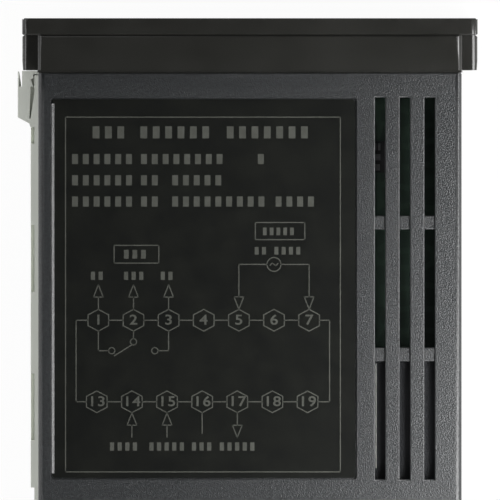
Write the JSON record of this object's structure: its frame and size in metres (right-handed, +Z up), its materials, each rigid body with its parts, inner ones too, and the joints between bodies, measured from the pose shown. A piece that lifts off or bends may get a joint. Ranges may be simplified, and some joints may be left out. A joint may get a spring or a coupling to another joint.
{
  "type": "panel counter",
  "caption": "Square panel-mount counter: glossy bezel with window and keys, textured vented case with sunken wiring label, screw terminals behind and a ratchet clip that slides along its side.",
  "frame": {"origin": "middle of the panel plane, where the rear faces of the bezel's ribs meet the panel", "axes": "+Z up, out of the labelled face; +Y into the panel, towards the terminals; the front looks along -Y"},
  "size_m": [0.0731, 0.0927, 0.072],
  "materials": {
    "bezel_gloss": "polished black ABS",
    "window_smoke": "smoked red acrylic pane",
    "key_red": "moulded red key cap",
    "key_grey": "moulded grey key cap",
    "chip_black": "black moulding compound",
    "board_green": "green solder resist on glass epoxy",
    "digit_grey": "grey faced digit module",
    "lamp_red": "diffused red lamp",
    "plated_steel": "zinc or nickel plated steel",
    "brass": "tinned brass",
    "core_steel": "stacked silicon steel",
    "coil_tape": "coil under polyester tape",
    "relay_blue": "blue relay cover",
    "can_sleeve": "printed sleeve",
    "fuse_red": "moulded fuse",
    "varistor_blue": "dipped epoxy",
    "cover_grey": "grey pressboard",
    "case_textured": "spark textured dark grey ABS",
    "label_film": "matt black printed film",
    "terminal_black": "black flame retardant plastic",
    "clip_grey": "light grey moulded nylon"
  },
  "bodies": {
    "housing": {"front_bezel": "bezel_gloss", "display_window": "window_smoke", "switch_bodies": "chip_black", "display_board": "board_green", "upper_digits": "digit_grey", "lower_digits": "digit_grey", "indicator_lamps": "lamp_red", "display_driver": "chip_black", "board_screws": "plated_steel", "header_strips": "chip_black", "header_pins": "brass", "power_board": "board_green", "signal_board": "board_green", "transformer_core": "core_steel", "transformer_bobbin": "coil_tape", "output_relay": "relay_blue", "filter_capacitors": "can_sleeve", "fuse": "fuse_red", "varistor": "varistor_blue", "bridge_rectifier": "chip_black", "voltage_regulator": "chip_black", "insulating_cover": "cover_grey", "supply_chip": "chip_black", "microcontroller": "chip_black", "memory_chip": "chip_black", "crystal": "plated_steel", "optocouplers": "chip_black", "case": "case_textured", "wiring_label": "label_film", "terminal_base": "terminal_black", "terminal_tags": "brass", "clamp_plates": "plated_steel", "terminal_screws": "plated_steel"},
    "reset_button": {"reset_key": "key_red", "reset_plunger": "chip_black"},
    "set_button": {"set_key": "key_grey", "set_plunger": "chip_black"},
    "shift_button": {"shift_key": "key_grey", "shift_plunger": "chip_black"},
    "raise_button": {"raise_key": "key_grey", "raise_plunger": "chip_black"},
    "clip": {"mounting_clip": "clip_grey"}
  },
  "joints": [
    {"name": "reset_press", "type": "slide", "parent": "housing", "child": "reset_button", "axis": [0, 1, 0], "range_m": [0, 0.0004], "stiffness_N_per_m": 1500},
    {"name": "set_press", "type": "slide", "parent": "housing", "child": "set_button", "axis": [0, 1, 0], "range_m": [0, 0.0004], "stiffness_N_per_m": 1500},
    {"name": "shift_press", "type": "slide", "parent": "housing", "child": "shift_button", "axis": [0, 1, 0], "range_m": [0, 0.0004], "stiffness_N_per_m": 1500},
    {"name": "raise_press", "type": "slide", "parent": "housing", "child": "raise_button", "axis": [0, 1, 0], "range_m": [0, 0.0004], "stiffness_N_per_m": 1500},
    {"name": "clip_slide", "type": "slide", "parent": "housing", "child": "clip", "axis": [0, 1, 0], "range_m": [0, 0.086]}
  ]
}
